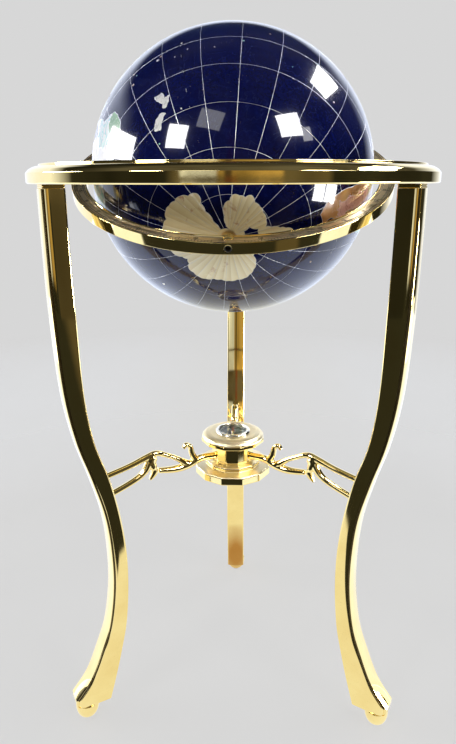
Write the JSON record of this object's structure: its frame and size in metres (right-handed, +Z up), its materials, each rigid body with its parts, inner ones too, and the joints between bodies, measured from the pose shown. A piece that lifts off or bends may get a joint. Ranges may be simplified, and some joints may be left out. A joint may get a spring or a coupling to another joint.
{
  "type": "gemstone floor globe",
  "caption": "Floor-standing gemstone-inlay globe in a tilting gimbal ring, held by a horizon ring on curved brass legs, with fretwork stretchers and a compass hub.",
  "frame": {"origin": "on the floor, on the vertical line through the ball's centre", "axes": "+Z up, +Y towards the back leg, +X to the viewer's right and along the gimbal's hinge"},
  "size_m": [0.4736, 0.4736, 0.8428],
  "materials": {
    "polished_brass": "mirror polished, lacquered",
    "steel": "blackened and plain screws",
    "pivot_nylon": "moulded",
    "foot_pad": "matte",
    "lapis_stone": "polished stone inlay under clear resin",
    "silvered_metal": "polished",
    "dial": "satin",
    "compass_glass": "clear",
    "needle": "gloss"
  },
  "bodies": {
    "stand": {"horizon_ring": "polished_brass", "hub_upper_tier": "polished_brass", "hub_neck": "polished_brass", "hub_lower_tier": "polished_brass", "hub_washer": "polished_brass", "hub_bolt": "polished_brass", "leg_left": "polished_brass", "leg_right": "polished_brass", "leg_back": "polished_brass", "leg_collar_left": "polished_brass", "leg_collar_right": "polished_brass", "leg_collar_back": "polished_brass", "foot_glide_left": "polished_brass", "foot_glide_right": "polished_brass", "foot_glide_back": "polished_brass", "stretcher_arm_left": "polished_brass", "stretcher_arm_right": "polished_brass", "stretcher_arm_back": "polished_brass", "compass_pivot_pin": "steel", "leg_stud_left": "steel", "leg_stud_right": "steel", "leg_stud_back": "steel", "hub_arm_screw_left": "steel", "hub_arm_screw_right": "steel", "hub_arm_screw_back": "steel", "arm_stud_left_upper": "steel", "arm_stud_left_lower": "steel", "arm_stud_right_upper": "steel", "arm_stud_right_lower": "steel", "arm_stud_back_upper": "steel", "arm_stud_back_lower": "steel", "pivot_bush_left": "pivot_nylon", "pivot_bush_right": "pivot_nylon", "foot_pad_left": "foot_pad", "foot_pad_right": "foot_pad", "foot_pad_back": "foot_pad", "compass_case": "silvered_metal", "compass_bezel": "silvered_metal", "compass_dial": "dial", "compass_glass": "compass_glass"},
    "gimbal": {"gimbal_ring": "polished_brass", "pivot_screw_left": "steel", "pivot_screw_right": "steel", "pivot_spacer_left": "polished_brass", "pivot_spacer_right": "polished_brass", "pole_screw_north": "steel", "pole_screw_south": "steel", "pole_sleeve_north": "polished_brass", "pole_sleeve_south": "polished_brass"},
    "globe": {"globe_shell": "lapis_stone", "pole_bush_north": "polished_brass", "pole_bush_south": "polished_brass"},
    "needle": {"compass_needle": "needle", "needle_cap": "polished_brass"}
  },
  "joints": [
    {"name": "gimbal_tilt", "type": "hinge", "parent": "stand", "child": "gimbal", "pos_m": [0, 0, 0.678], "axis": [1, 0, 0], "continuous": true},
    {"name": "globe_spin", "type": "hinge", "parent": "gimbal", "child": "globe", "pos_m": [0, 0, 0.678], "axis": [0, 0.9272, 0.3746], "continuous": true},
    {"name": "needle_swing", "type": "hinge", "parent": "stand", "child": "needle", "pos_m": [0, 0, 0.3478], "axis": [0, 0, 1], "continuous": true}
  ]
}
